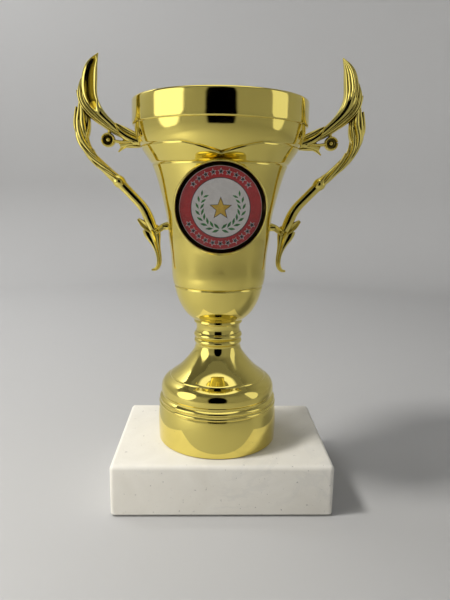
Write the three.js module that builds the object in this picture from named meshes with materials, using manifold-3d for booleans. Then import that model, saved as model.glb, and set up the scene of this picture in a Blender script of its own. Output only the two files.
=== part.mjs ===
// A small cup trophy: a gilt plastic cup with two scroll handles and a round medal on its front,
// a gilt bell-shaped foot and a marble block, all clamped together by one threaded rod.
// Millimetres, +Z up. The front faces -Y. The origin is on the table, on the axis of the cup.

import * as THREE from "three";
import { mergeVertices } from "three/addons/utils/BufferGeometryUtils.js";
import Module from "manifold-3d";

const wasm = await Module();
wasm.setup();

// ---- Driving dimensions ----

const clearance = 0.3; // where one piece passes through or wraps round another
const seat = 0.1; // between flat faces that rest on each other
const roundSides = 40; // sides of the large turned pieces
const smallSides = 16; // sides of rods, pegs and washers

const pad = { radius: 5, thickness: 0.8, inset: 9 };
// The block is drilled a little off its middle: shift is where its middle is, seen from the cup's axis.
const block = { width: 75, depth: 54, height: 17.5, bevel: 1.7, corner: 0.4, shift: { x: 1.7, y: 1 } };
const counterbore = { radius: 12, depth: 8 };
const rod = { radius: 2.5, overhang: 1.4, topOverhang: 2.2 };
const washer = { radius: 5.2, thickness: 1 };
const nut = { acrossFlats: 8, height: 4 };
const foot = { radius: 21.35, wall: 1.6, collarTop: 58.3 };
const cup = { neck: 7.4, floor: 68.4, rimRadius: 29.6, rimBottom: 129, top: 137.1, wall: 1.7 };
// The line round the cup, with its point over the medal. slope is how fast the cup widens there.
const groove = { radius: 0.45, height: 122.1, middle: 26.7, slope: 0.63, dip: 3.3, halfAngle: 24 };
const upperPeg = { radius: 1.6, height: 123.8 };
const lowerPeg = { radius: 1.2, height: 95.4 };
const holder = { height: 102.6, radius: 14.4, face: 24.6, lip: 26.4, peg: 2 };
const medal = { radius: 12.5, insert: 0.5, crown: 1.5 };

// ---- Heights that follow from them ----

const blockBottom = pad.thickness;
const blockTop = blockBottom + block.height;
const footBottom = blockTop + seat;
const cupBottom = foot.collarTop + seat;
const bore = rod.radius + clearance;

// ---- Finishes ----

const gilt = new THREE.MeshStandardMaterial({ color: 0xe6c65a, metalness: 1, roughness: 0.12 });
const marble = new THREE.MeshStandardMaterial({ color: 0xe9e7df, metalness: 0, roughness: 0.35 });
const steel = new THREE.MeshStandardMaterial({ color: 0xb9bcc0, metalness: 1, roughness: 0.35 });
const felt = new THREE.MeshStandardMaterial({ color: 0x2c3330, metalness: 0, roughness: 1 });
const print = new THREE.MeshStandardMaterial({ color: 0xb3202c, metalness: 0, roughness: 0.5 });
const resin = new THREE.MeshStandardMaterial({ roughness: 0.05, transparent: true, opacity: 0.3 });

// ---- Helpers ----

// A closed geometry as a manifold-3d solid.
function solid(geometry) {
  const bare = geometry.clone();
  bare.deleteAttribute("normal");
  bare.deleteAttribute("uv");
  const merged = mergeVertices(bare, 1e-4);
  const vertProperties = merged.getAttribute("position").array;
  const triVerts = new Uint32Array(merged.index.array);
  return new wasm.Manifold(new wasm.Mesh({ numProp: 3, vertProperties, triVerts }));
}

// A manifold-3d solid as a geometry.
function geometryOf(made) {
  const { vertProperties, triVerts } = made.getMesh();
  return new THREE.BufferGeometry()
    .setAttribute("position", new THREE.BufferAttribute(new Float32Array(vertProperties), 3))
    .setIndex(new THREE.BufferAttribute(new Uint32Array(triVerts), 1));
}

function part(name, geometry, material) {
  const mesh = new THREE.Mesh(geometry, material);
  mesh.name = name;
  return mesh;
}

// A profile of Vector2(radius, height) turned round the Z axis.
function turned(profile, sides = roundSides) {
  return new THREE.LatheGeometry(profile, sides).rotateX(Math.PI / 2);
}

function outline(pairs) {
  return pairs.map(([across, up]) => new THREE.Vector2(across, up));
}

// A round bar along Z from one height to another.
function uprightBar(radius, from, to, sides = smallSides) {
  return new THREE.CylinderGeometry(radius, radius, to - from, sides)
    .rotateX(Math.PI / 2)
    .translate(0, 0, (from + to) / 2);
}

// A round bar along X from one place to another, at the given height.
function crossBar(radius, from, to, height) {
  return new THREE.CylinderGeometry(radius, radius, to - from, smallSides)
    .rotateZ(Math.PI / 2)
    .translate((from + to) / 2, 0, height);
}

// Turns a piece made along +Z so that it points out of the front, at the medal's height.
function facingFront(geometry) {
  return geometry.rotateX(Math.PI / 2).translate(0, 0, holder.height);
}

// ---- Marble block and felt pads ----

function marbleBlock() {
  const w = block.width / 2 - block.bevel;
  const d = block.depth / 2 - block.bevel;
  const c = block.corner;
  const plan = new THREE.Shape()
    .absarc(w - c, d - c, c, 0, Math.PI / 2)
    .absarc(c - w, d - c, c, Math.PI / 2, Math.PI)
    .absarc(c - w, c - d, c, Math.PI, 1.5 * Math.PI)
    .absarc(w - c, c - d, c, 1.5 * Math.PI, 2 * Math.PI);
  const slab = new THREE.ExtrudeGeometry(plan, {
    depth: block.height - 2 * block.bevel,
    bevelThickness: block.bevel,
    bevelSize: block.bevel,
    bevelSegments: 3,
    curveSegments: 3,
  }).translate(block.shift.x, block.shift.y, blockBottom + block.bevel);
  const hole = uprightBar(bore, 0, blockTop + 1);
  const recess = uprightBar(counterbore.radius, 0, blockBottom + counterbore.depth, 32);
  return geometryOf(solid(slab).subtract(solid(hole)).subtract(solid(recess)));
}

function feltPads() {
  const x = block.width / 2 - pad.inset;
  const y = block.depth / 2 - pad.inset;
  return [["front_left", -x, -y], ["front_right", x, -y], ["back_left", -x, y], ["back_right", x, y]].map(
    ([place, px, py]) => {
      const mesh = part(`felt_pad_${place}`, uprightBar(pad.radius, 0, pad.thickness - seat, 24), felt);
      mesh.position.set(block.shift.x + px, block.shift.y + py, 0);
      return mesh;
    },
  );
}

// ---- Foot: drum, two beads, a roll, a bell and a ringed collar, hollow, with a tube for the rod ----

function footGeometry() {
  const outside = new THREE.Path()
    .moveTo(foot.radius, footBottom)
    .quadraticCurveTo(22.05, 25, 21.3, 31.4)
    .lineTo(20.9, 31.8)
    .quadraticCurveTo(21.7, 32.6, 20.8, 33.4)
    .quadraticCurveTo(21.5, 34.4, 20.4, 35.3)
    .bezierCurveTo(20.9, 37.6, 19.8, 40.9, 17.4, 41.5)
    .lineTo(17.1, 41.9)
    .bezierCurveTo(14.2, 44, 9.4, 48.6, 8.3, 53.6)
    .lineTo(8.1, 53.9)
    .quadraticCurveTo(9.1, 55.1, 8.15, 56.3)
    .quadraticCurveTo(9.1, 57, 8.65, 57.9)
    .lineTo(8.3, foot.collarTop);
  const tube = bore + foot.wall + 0.6;
  const inside = outline([
    [bore, foot.collarTop],
    [bore, footBottom],
    [tube, footBottom],
    [tube, 48.5],
    [6.6, 49.5],
    [9.6, 46],
    [13.4, 42.2],
    [16.4, 40],
    [18.6, 37],
    [foot.radius - foot.wall, 31],
    [foot.radius - foot.wall, footBottom],
    [foot.radius, footBottom],
  ]);
  const ribLength = foot.radius - foot.wall + 0.4 - (bore + foot.wall);
  let shell = solid(turned([...outside.getPoints(3), ...inside]));
  for (const angle of [0, 90, 180, 270]) {
    const rib = new THREE.BoxGeometry(ribLength, 1.2, 10)
      .translate(bore + foot.wall + ribLength / 2, 0, footBottom + 7)
      .rotateZ(THREE.MathUtils.degToRad(angle));
    shell = shell.add(solid(rib));
  }
  return geometryOf(shell);
}

// ---- Cup ----

// The outside of the cup from the neck to the rim band, as a path of (radius, height).
function cupOutside() {
  return new THREE.Path()
    .moveTo(cup.neck, cupBottom)
    .quadraticCurveTo(7.3, 60.6, 8.3, 61.7)
    .quadraticCurveTo(9.6, 62.2, 9, 62.9)
    .splineThru(outline([[12.1, 65.8], [14.3, 69.8], [15.6, 74.4]]))
    .lineTo(15.3, 74.8)
    .lineTo(15.8, 75.2)
    .splineThru(outline([[16.55, 79.5], [16.8, 84.5], [18.4, 98], [20.2, 107], [22.9, 116.1]]))
    .lineTo(22.8, 116.6)
    .lineTo(23.5, 117)
    .splineThru(outline([[26.4, 121.6], [28.1, 125.2], [28.9, cup.rimBottom - 0.1]]));
}

// The space that the cup fills, grown by the running clearance, for cutting the pieces fixed to it.
function cupEnvelope() {
  const grown = cupOutside().getPoints(2).map((p) => new THREE.Vector2(p.x + clearance, p.y));
  const last = grown.at(-1);
  return solid(turned([new THREE.Vector2(0, cupBottom), ...grown, new THREE.Vector2(0, last.y)]));
}

// A ring that cuts the line round the cup, which comes down to a point over the medal.
function grooveCutter() {
  const band = new THREE.TorusGeometry(groove.middle, groove.radius, 5, 60);
  const places = band.getAttribute("position");
  for (let i = 0; i < places.count; i += 1) {
    const angle = Math.atan2(places.getY(i), places.getX(i));
    const fromFront = Math.abs(THREE.MathUtils.radToDeg(Math.atan2(Math.cos(angle), -Math.sin(angle))));
    const drop = groove.dip * Math.max(0, 1 - fromFront / groove.halfAngle) ** 1.25;
    const radius = Math.hypot(places.getX(i), places.getY(i)) + 0.1 - drop * groove.slope;
    const height = places.getZ(i) + groove.height - drop;
    places.setXYZ(i, radius * Math.cos(angle), radius * Math.sin(angle), height);
  }
  return band;
}

function cupGeometry() {
  const rim = new THREE.Path()
    .moveTo(cup.rimRadius, cup.rimBottom + 0.3)
    .lineTo(cup.rimRadius, cup.top - 0.8)
    .quadraticCurveTo(cup.rimRadius, cup.top, cup.rimRadius - 0.8, cup.top)
    .lineTo(cup.rimRadius - cup.wall, cup.top - 0.6);
  const inside = new THREE.Path()
    .moveTo(cup.rimRadius - cup.wall, 133)
    .splineThru(outline([[26.8, 127], [22.4, 118.6], [19.2, 110.6], [17.3, 102.6]]))
    .splineThru(outline([[15.2, 86], [14.2, 76], [12, 71.5], [8, cup.floor]]))
    .lineTo(bore, cup.floor)
    .lineTo(bore, cupBottom)
    .lineTo(cup.neck, cupBottom);
  let bowl = solid(turned([...cupOutside().getPoints(2), ...rim.getPoints(3), ...inside.getPoints(2)]));
  const upperHole = upperPeg.radius + clearance;
  const lowerHole = lowerPeg.radius + clearance;
  for (const side of [-1, 1]) {
    bowl = bowl.subtract(solid(crossBar(upperHole, 22, 32, upperPeg.height).rotateZ(side < 0 ? Math.PI : 0)));
    bowl = bowl.subtract(solid(crossBar(lowerHole, 12, 22, lowerPeg.height).rotateZ(side < 0 ? Math.PI : 0)));
  }
  bowl = bowl.subtract(solid(facingFront(uprightBar(holder.peg + clearance, 12, 22))));
  return geometryOf(bowl.subtract(solid(grooveCutter())));
}

// ---- Handles: one moulding, used on both sides, turned half round ----

// A closed bar along a smooth line of [x, z] points in the XZ plane. Widths are its half widths in that plane
// and depths its half depths across it, at even steps from one end to the other.
function bentBar(line, widths, depths, steps = 20, sides = 8) {
  const points = line.map(([x, z]) => new THREE.Vector3(x, 0, z));
  const curve = new THREE.CatmullRomCurve3(points, false, "centripetal");
  const size = (values, t) => {
    const place = t * (values.length - 1);
    const before = Math.min(Math.floor(place), values.length - 2);
    return THREE.MathUtils.lerp(values[before], values[before + 1], place - before);
  };
  const bar = new THREE.CylinderGeometry(1, 1, 1, sides, steps);
  const places = bar.getAttribute("position");
  const place = new THREE.Vector3();
  const across = new THREE.Vector3(0, 1, 0);
  for (let i = 0; i < places.count; i += 1) {
    place.fromBufferAttribute(places, i);
    const t = place.y + 0.5;
    const sideways = curve.getTangentAt(t).cross(across).normalize();
    const at = curve
      .getPointAt(t)
      .addScaledVector(sideways, place.x * size(widths, t))
      .addScaledVector(across, place.z * size(depths, t));
    places.setXYZ(i, at.x, at.y, at.z);
  }
  return solid(bar);
}

// A short bent bar, with fewer faces.
function twig(line, widths, depths) {
  return bentBar(line, widths, depths, 4, 6);
}

// The curled end that hangs under the upper arm: a ring with a bead in its eye.
function curl() {
  const turns = 1.15;
  const centre = [38.1, 124.1];
  const line = Array.from({ length: 9 }, (_, i) => {
    const angle = THREE.MathUtils.degToRad(190) + (i / 8) * turns * Math.PI * 2;
    const radius = 2.15 - (i / 8) * 0.6;
    return [centre[0] + radius * Math.cos(angle), centre[1] + radius * Math.sin(angle)];
  });
  const bead = new THREE.SphereGeometry(1.15, 10, 8).translate(centre[0] + 0.2, 0, centre[1]);
  const widths = [0.9, 0.8, 0.7, 0.65, 0.6];
  const depths = [1.4, 1.2, 1, 0.9, 0.8];
  return bentBar([[33, 123.4], [34.6, 123], ...line], widths, depths, 20, 6).add(solid(bead));
}

function handleGeometry() {
  const horn = bentBar(
    [
      [27, 123.8], [31.5, 124.8], [35.4, 127.3], [39.2, 130.7], [42.4, 133.8],
      [44.6, 138], [44.4, 142.6], [43.2, 147], [40.5, 151.8],
    ],
    [1.8, 2, 1.9, 1.9, 2.7, 3.4, 3.1, 2.2, 0.25],
    [1.9, 1.9, 1.9, 2, 2.5, 2.7, 2.5, 1.6, 0.25],
    18,
  );
  const vine = bentBar(
    [
      [45.4, 136.6], [46.9, 131.5], [46.8, 125.4], [44, 119.9], [39.6, 115.4],
      [35.4, 112], [30.6, 106.4], [26.6, 102], [24, 97], [22.6, 93.6],
    ],
    [1.7, 2.3, 2.3, 1.9, 1.7, 2, 1.9, 1.9, 2.1, 1.8],
    [1.6, 1.9, 1.9, 1.8, 1.7, 1.9, 1.8, 1.8, 1.8, 1.6],
    20,
  );
  const underLeaf = twig([[29.5, 123.4], [32.2, 122.4], [34.4, 120.5]], [1.2, 1.1, 0.3], [1.5, 1.2, 0.4]);
  const topLeaf = twig([[30.5, 125.4], [33, 127], [35.5, 129.3]], [1.2, 1.2, 0.3], [1.6, 1.5, 0.5]);
  const bracket = twig([[17, 95.6], [19.8, 95.3], [22.4, 93.6]], [1.4, 1.3, 1.6], [1.5, 1.5, 1.5]);
  const wing = twig([[22.6, 93], [25.6, 95], [28.1, 98]], [1.6, 1.5, 0.3], [1.5, 1.4, 0.5]);
  const tail = bentBar(
    [[24, 95.6], [23.2, 91.3], [22.1, 87.4], [21.7, 83.8], [22.2, 81], [22.8, 79.2]],
    [2.8, 2.8, 1.9, 1.4, 1.1, 0.3],
    [1.5, 1.6, 1.4, 1.2, 0.9, 0.3],
    10,
  );
  const pegs = [
    crossBar(upperPeg.radius, 24.6, 29.5, upperPeg.height),
    crossBar(lowerPeg.radius, 15.2, 20, lowerPeg.height),
  ];
  let moulding = horn;
  for (const piece of [vine, underLeaf, topLeaf, curl(), bracket, wing, tail]) {
    moulding = moulding.add(piece);
  }
  moulding = moulding.subtract(cupEnvelope());
  for (const peg of pegs) {
    moulding = moulding.add(solid(peg));
  }
  return geometryOf(moulding);
}

function handles() {
  const moulding = handleGeometry();
  const right = part("handle_right", moulding, gilt);
  const left = part("handle_left", moulding, gilt);
  left.rotation.z = Math.PI;
  return [left, right];
}

// ---- Medal: holder with a skirt that fits the cup, printed disc, clear domed cover ----

function holderGeometry() {
  const inner = medal.radius + clearance;
  const rim = new THREE.Path()
    .moveTo(holder.radius - 0.2, 12)
    .lineTo(holder.radius, holder.lip - 0.9)
    .quadraticCurveTo(holder.radius, holder.lip, holder.radius - 0.6, holder.lip)
    .quadraticCurveTo(holder.radius - 1.1, holder.lip, inner + 0.1, holder.lip - 1.1)
    .lineTo(inner, holder.face)
    .lineTo(0, holder.face);
  const back = holder.face - foot.wall;
  const hollow = outline([[0, back], [inner, back], [inner, 12], [holder.radius - 0.2, 12]]);
  const shell = solid(facingFront(turned([...hollow, ...rim.getPoints(3)], 40))).subtract(cupEnvelope());
  return geometryOf(shell.add(solid(facingFront(uprightBar(holder.peg, 16, back + 0.5)))));
}

function medalDisc() {
  const back = holder.face + seat;
  return facingFront(uprightBar(medal.radius, back, back + medal.insert, 40));
}

function medalDome() {
  const back = holder.face + medal.insert + 2 * seat;
  const edge = 0.3;
  const swell = new THREE.Path()
    .moveTo(0, back)
    .lineTo(medal.radius, back)
    .lineTo(medal.radius, back + edge)
    .quadraticCurveTo(medal.radius / 2, back + 2 * medal.crown - edge, 0, back + medal.crown);
  return facingFront(turned(swell.getPoints(6), 32));
}

// ---- Fastening: threaded rod, washers and nuts ----

function ring(radius, hole, from, to, sides) {
  const disc = solid(uprightBar(radius, from, to, sides));
  return geometryOf(disc.subtract(solid(uprightBar(hole, from - 1, to + 1))));
}

function fastening() {
  const lowerWasher = blockBottom + counterbore.depth - seat - washer.thickness;
  const lowerNut = lowerWasher - seat - nut.height;
  const upperWasher = cup.floor + seat;
  const upperNut = upperWasher + washer.thickness + seat;
  const hexagon = nut.acrossFlats / Math.sqrt(3);
  const rodEnds = [lowerNut - rod.overhang, upperNut + nut.height + rod.topOverhang];
  return [
    part("tie_rod", uprightBar(rod.radius, ...rodEnds), steel),
    part("base_washer", ring(washer.radius, bore, lowerWasher, lowerWasher + washer.thickness, 28), steel),
    part("base_nut", ring(hexagon, bore, lowerNut, lowerNut + nut.height, 6), steel),
    part("cup_washer", ring(washer.radius, bore, upperWasher, upperWasher + washer.thickness, 28), steel),
    part("cup_nut", ring(hexagon, bore, upperNut, upperNut + nut.height, 6), steel),
  ];
}

// ---- The trophy ----

const trophy = new THREE.Group();
trophy.add(
  part("marble_base", marbleBlock(), marble),
  ...feltPads(),
  part("foot", footGeometry(), gilt),
  part("cup", cupGeometry(), gilt),
  ...handles(),
  part("medal_holder", holderGeometry(), gilt),
  part("medal_disc", medalDisc(), print),
  part("medal_dome", medalDome(), resin),
  ...fastening(),
);

export default trophy;
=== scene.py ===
"""The looks of a small gilt cup trophy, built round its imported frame.

Metres, +Z up, the medal faces -Y. Shapes are drawn in millimetres and made metres when a piece is finished.
"""

import math

import bmesh
import bpy
import numpy as np
from mathutils import Matrix, Vector, noise


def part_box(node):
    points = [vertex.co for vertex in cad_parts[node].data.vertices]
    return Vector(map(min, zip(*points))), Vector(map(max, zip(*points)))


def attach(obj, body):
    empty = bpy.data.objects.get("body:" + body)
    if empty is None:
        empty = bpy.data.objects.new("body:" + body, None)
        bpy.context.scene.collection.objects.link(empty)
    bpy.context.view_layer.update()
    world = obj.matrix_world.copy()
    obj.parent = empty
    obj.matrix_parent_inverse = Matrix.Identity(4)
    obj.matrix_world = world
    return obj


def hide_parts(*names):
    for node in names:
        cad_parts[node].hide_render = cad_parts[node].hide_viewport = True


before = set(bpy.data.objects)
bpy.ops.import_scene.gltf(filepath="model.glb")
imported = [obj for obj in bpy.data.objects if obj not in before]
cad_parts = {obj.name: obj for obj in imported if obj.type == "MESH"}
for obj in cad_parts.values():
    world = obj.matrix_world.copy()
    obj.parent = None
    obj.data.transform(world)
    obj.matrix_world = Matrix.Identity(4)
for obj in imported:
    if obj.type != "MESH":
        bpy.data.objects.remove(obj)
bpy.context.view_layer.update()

MM = 0.001
BODY = "root"
FULL_TURN = 2 * math.pi
ROUND = 192  # steps round the large turned pieces
FRONT = math.radians(270)  # the turn from +X to the front, -Y

# ---- Sizes in millimetres, from the frame where it holds them ----


def size_of(node):
    """The lowest and highest corner of a frame node, in millimetres."""
    low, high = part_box(node)
    return low / MM, high / MM


BLOCK_LOW, BLOCK_HIGH = size_of("marble_base")
FOOT_LOW, FOOT_HIGH = size_of("foot")
CUP_LOW, CUP_HIGH = size_of("cup")
HOLDER_LOW, HOLDER_HIGH = size_of("medal_holder")
DISC_LOW, DISC_HIGH = size_of("medal_disc")
DOME_LOW, DOME_HIGH = size_of("medal_dome")
ROD_LOW, ROD_HIGH = size_of("tie_rod")

RIM_RADIUS = CUP_HIGH.x
CUP_TOP = CUP_HIGH.z
RIM_BOTTOM = CUP_TOP - 8.4
CUP_WALL = 1.7
CUP_FLOOR = 68.4
ROD_RADIUS = ROD_HIGH.x
BORE = ROD_RADIUS + 0.3
MEDAL_HEIGHT = (HOLDER_LOW.z + HOLDER_HIGH.z) / 2
MEDAL_RADIUS = DISC_HIGH.x
HOLDER_RADIUS = HOLDER_HIGH.x
HOLDER_LIP = -HOLDER_LOW.y
PRINT_FACE = -DISC_LOW.y

# The cup's outside, as (height, radius): below its lowest line, and from there up to the rim band.
BULB = [(63.2, 9.4), (64.8, 11.2), (67.1, 12.9), (69.4, 14.1), (71.8, 14.95), (75.2, 15.85)]
WAIST = [
    (75.2, 15.85), (77.8, 16.4), (81.5, 16.65), (86.7, 17.0), (92, 17.7), (99.3, 18.4), (103.4, 19.3),
    (108.5, 20.6), (113.5, 22.1), (116.4, 23.3), (119.2, 25.1), (122.1, 26.95), (125.1, 28.2),
    (RIM_BOTTOM, 29.0),
]
LOW_LINE = 75.2
MIDDLE_LINE = 116.4
POINTED_LINE = 122.1
LINE_DEPTH = 0.36
LINE_WIDTH = 0.3
POINT_DROP = 3.2  # how far the upper line dips over the medal
POINT_HALF_ANGLE = math.radians(27.5)


# ---- The studio, in metres ----

CAMERA_PLACE = (-0.00265, -0.189, 0.10605)
CAMERA_YAW, CAMERA_TILT, CAMERA_ROLL = -0.0267, 0.1915, 0.0144  # radians
CAMERA_LENS = 32.08  # mm, on a sensor 36 mm long
STUDIO_GREY = (0.5, 0.5, 0.5)
PANEL_TARGET = (0, 0, 0.08)
# Name, place, width, height and brightness.
SOFT_PANELS = [
    ("soft_box_left", (-0.38, -0.16, 0.2), 0.36, 0.5, 1.6),
    ("soft_box_right", (0.4, -0.1, 0.2), 0.2, 0.5, 0.9),
    ("soft_box_above", (0, 0, 0.55), 0.5, 0.5, 1.2),
    ("flag_front", (0, -0.4, 0.12), 0.3, 0.6, 0),
]


# ---- Curves ----


def even_curve(knots, values):
    """A natural cubic spline through the values at the knots, as a function of the knot."""
    knots = np.asarray(knots, float)
    values = np.asarray(values, float).reshape(len(knots), -1)
    gaps = np.diff(knots)
    slopes = np.diff(values, axis=0) / gaps[:, None]
    system = np.eye(len(knots))
    change = np.zeros_like(values)
    for i in range(1, len(knots) - 1):
        system[i, i - 1 : i + 2] = gaps[i - 1], 2 * (gaps[i - 1] + gaps[i]), gaps[i]
        change[i] = 6 * (slopes[i] - slopes[i - 1])
    bends = np.linalg.solve(system, change)

    def at(knot):
        i = int(np.clip(np.searchsorted(knots, knot) - 1, 0, len(gaps) - 1))
        before = (knots[i + 1] - knot) / gaps[i]
        after = 1 - before
        curve = (before**3 - before) * bends[i] + (after**3 - after) * bends[i + 1]
        return before * values[i] + after * values[i + 1] + curve * gaps[i] ** 2 / 6

    return at


def line_through(points):
    """A smooth line through the points, as a function of the share of its length, and that length."""
    points = np.asarray(points, float)
    reach = np.concatenate([[0], np.cumsum(np.linalg.norm(np.diff(points, axis=0), axis=1))])
    curve = even_curve(reach, points)
    return lambda share: curve(share * reach[-1]), reach[-1]


def bow(start, stop, rise, steps=8):
    """Points of (radius, height) from start to stop, bowed to the right by rise at the middle."""
    start, stop = Vector(start), Vector(stop)
    along = stop - start
    out = Vector((along.y, -along.x)).normalized()
    shares = [i / steps for i in range(1, steps + 1)]
    return [start + along * share + out * rise * 4 * share * (1 - share) for share in shares]


def rising(start, stop, lines, fine=0.11, coarse=0.7, reach=1.0):
    """Heights from start to stop, close together near the lines."""
    heights = [start]
    while heights[-1] < stop - fine:
        gap = min(abs(heights[-1] - line) for line in lines)
        heights.append(heights[-1] + (fine if gap < reach else min(coarse, max(fine, gap - reach))))
    return heights[:-1] + [stop]


# ---- Building meshes ----


def turn(outline, steps=ROUND):
    """A closed outline of (radius, height) turned round the Z axis."""
    bm = bmesh.new()
    corners = [bm.verts.new((radius, 0, height)) for radius, height in outline]
    sides = [bm.edges.new(pair) for pair in zip(corners, corners[1:] + corners[:1])]
    bmesh.ops.spin(
        bm, geom=corners + sides, axis=(0, 0, 1), cent=(0, 0, 0), angle=FULL_TURN, steps=steps, use_merge=True
    )
    bmesh.ops.remove_doubles(bm, verts=bm.verts, dist=1e-5)
    bmesh.ops.recalc_face_normals(bm, faces=bm.faces)
    return bm


def upright_bar(radius, low, high, steps, shift=(0, 0)):
    """A plain round bar along Z."""
    bm = bmesh.new()
    middle = Matrix.Translation((*shift, (low + high) / 2))
    bmesh.ops.create_cone(
        bm, cap_ends=True, segments=steps, radius1=radius, radius2=radius, depth=high - low, matrix=middle
    )
    return bm


def gather(parts):
    """One bmesh that holds all the parts."""
    whole = bmesh.new()
    for bm in parts:
        mesh = bpy.data.meshes.new("part")
        bm.to_mesh(mesh)
        bm.free()
        whole.from_mesh(mesh)
        bpy.data.meshes.remove(mesh)
    return whole


def new_object(name, bm):
    mesh = bpy.data.meshes.new(name)
    bm.to_mesh(mesh)
    bm.free()
    piece = bpy.data.objects.new(name, mesh)
    bpy.context.scene.collection.objects.link(piece)
    return piece


def apply_modifiers(piece):
    """Leaves the piece as a plain mesh of its modifiers' result."""
    shaped = piece.evaluated_get(bpy.context.evaluated_depsgraph_get())
    mesh = bpy.data.meshes.new_from_object(shaped)
    piece.modifiers.clear()
    old = piece.data
    piece.data = mesh
    bpy.data.meshes.remove(old)


def cut(piece, tool_bm, operation="DIFFERENCE"):
    """Cuts the piece with a tool made in the same place, and throws the tool away."""
    tool = new_object("tool", tool_bm)
    knife = piece.modifiers.new("cut", "BOOLEAN")
    knife.operation = operation
    knife.solver = "EXACT"
    knife.object = tool
    apply_modifiers(piece)
    mesh = tool.data
    bpy.data.objects.remove(tool)
    bpy.data.meshes.remove(mesh)


def finish_piece(piece, material, stands_for=None, crease=32):
    """Scales the piece to metres, shades it, and ties it to the frame."""
    piece.data.transform(Matrix.Scale(MM, 4))
    piece.data.materials.clear()
    piece.data.materials.append(material)
    piece.data.shade_smooth()
    piece.data.set_sharp_from_angle(angle=math.radians(crease))
    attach(piece, BODY)
    if stands_for:
        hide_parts(*stands_for)
    return piece


def facing_front(bm):
    """Turns a piece made along +Z so that it points out of the front, at the medal's height."""
    turned = Matrix.Translation((0, 0, MEDAL_HEIGHT)) @ Matrix.Rotation(math.pi / 2, 4, "X")
    bmesh.ops.transform(bm, matrix=turned, verts=bm.verts)
    return bm


# ---- Materials ----


def new_material(name):
    """A material, its Principled shader and its node tree's maker."""
    material = bpy.data.materials.new(name)
    material.use_nodes = True
    shader = material.node_tree.nodes["Principled BSDF"]
    return material, shader, material.node_tree


def add_noise(tree, scale, detail=4.0, roughness=0.5, distortion=0.0, stretch=None):
    """A noise texture on the piece's own coordinates, in metres."""
    place = tree.nodes.new("ShaderNodeTexCoord")
    texture = tree.nodes.new("ShaderNodeTexNoise")
    texture.inputs["Scale"].default_value = scale
    texture.inputs["Detail"].default_value = detail
    texture.inputs["Roughness"].default_value = roughness
    texture.inputs["Distortion"].default_value = distortion
    source = place.outputs["Object"]
    if stretch:
        mapping = tree.nodes.new("ShaderNodeMapping")
        mapping.inputs["Scale"].default_value = stretch[0]
        mapping.inputs["Rotation"].default_value = stretch[1]
        tree.links.new(source, mapping.inputs["Vector"])
        source = mapping.outputs["Vector"]
    tree.links.new(source, texture.inputs["Vector"])
    return texture


def add_ramp(tree, source, stops, smooth=False):
    """A colour ramp with stops of (place, colour)."""
    ramp = tree.nodes.new("ShaderNodeValToRGB")
    ramp.color_ramp.interpolation = "EASE" if smooth else "LINEAR"
    points = ramp.color_ramp.elements
    while len(points) < len(stops):
        points.new(0.5)
    for point, (place, colour) in zip(points, stops):
        point.position = place
        point.color = (*colour, 1)
    tree.links.new(source, ramp.inputs["Fac"])
    return ramp.outputs["Color"]


def grey(value):
    return (value, value, value)


def add_bump(tree, shader, height, strength, distance):
    bump = tree.nodes.new("ShaderNodeBump")
    bump.inputs["Strength"].default_value = strength
    bump.inputs["Distance"].default_value = distance
    tree.links.new(height, bump.inputs["Height"])
    tree.links.new(bump.outputs["Normal"], shader.inputs["Normal"])


def mix_colours(tree, share, first, second, blend="MIX"):
    """first and second are sockets or colours."""
    mixer = tree.nodes.new("ShaderNodeMix")
    mixer.data_type = "RGBA"
    mixer.blend_type = blend
    if isinstance(share, float):
        mixer.inputs["Factor"].default_value = share
    else:
        tree.links.new(share, mixer.inputs["Factor"])
    for socket, colour in ((mixer.inputs["A"], first), (mixer.inputs["B"], second)):
        if isinstance(colour, tuple):
            socket.default_value = (*colour, 1)
        else:
            tree.links.new(colour, socket)
    return mixer.outputs["Result"]


GOLD = (0.85, 0.72, 0.2)
GOLD_WORN = (0.81, 0.67, 0.17)
# Near-black gilt painted as shade in folds and creases, also the darker tone of the medal seat's painted
# shade.
GOLD_PAINTED_SHADE = (0.035, 0.024, 0.006)
# Dark brown gilt painted as shade on the medal's seat.
SEAT_PAINTED_SHADE = (0.075, 0.04, 0.018)


def gilt_material(name, polish, ripple, painted_crease_reach=0.0, tones=(GOLD, GOLD_WORN)):
    """Mirror-bright metallised plastic: faint moulding ripples, fine rubs, and painted shade that darkens the
    folds and creases when given a reach.
    """
    material, shader, tree = new_material(name)
    shader.inputs["Metallic"].default_value = 1.0
    tone = add_noise(tree, 55, 3)
    colour = mix_colours(tree, tone.outputs["Fac"], *tones)
    if painted_crease_reach:
        # Painted shade: ambient occlusion over a short reach darkens the colour towards near-black in folds
        # and creases.
        hollow = tree.nodes.new("ShaderNodeAmbientOcclusion")
        hollow.only_local = True
        hollow.samples = 6
        hollow.inputs["Distance"].default_value = painted_crease_reach
        depth = add_ramp(tree, hollow.outputs["AO"], [(0.25, grey(1.0)), (0.78, grey(0.0))])
        colour = mix_colours(tree, depth, colour, GOLD_PAINTED_SHADE)
    tree.links.new(colour, shader.inputs["Base Color"])
    haze = add_noise(tree, 240, 6, 0.6)
    gloss = add_ramp(tree, haze.outputs["Fac"], [(0.35, grey(polish)), (0.75, grey(polish + 0.07))])
    tree.links.new(gloss, shader.inputs["Roughness"])
    waves = add_noise(tree, 90, 2)
    add_bump(tree, shader, waves.outputs["Fac"], ripple, 0.0006)
    return material


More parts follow.
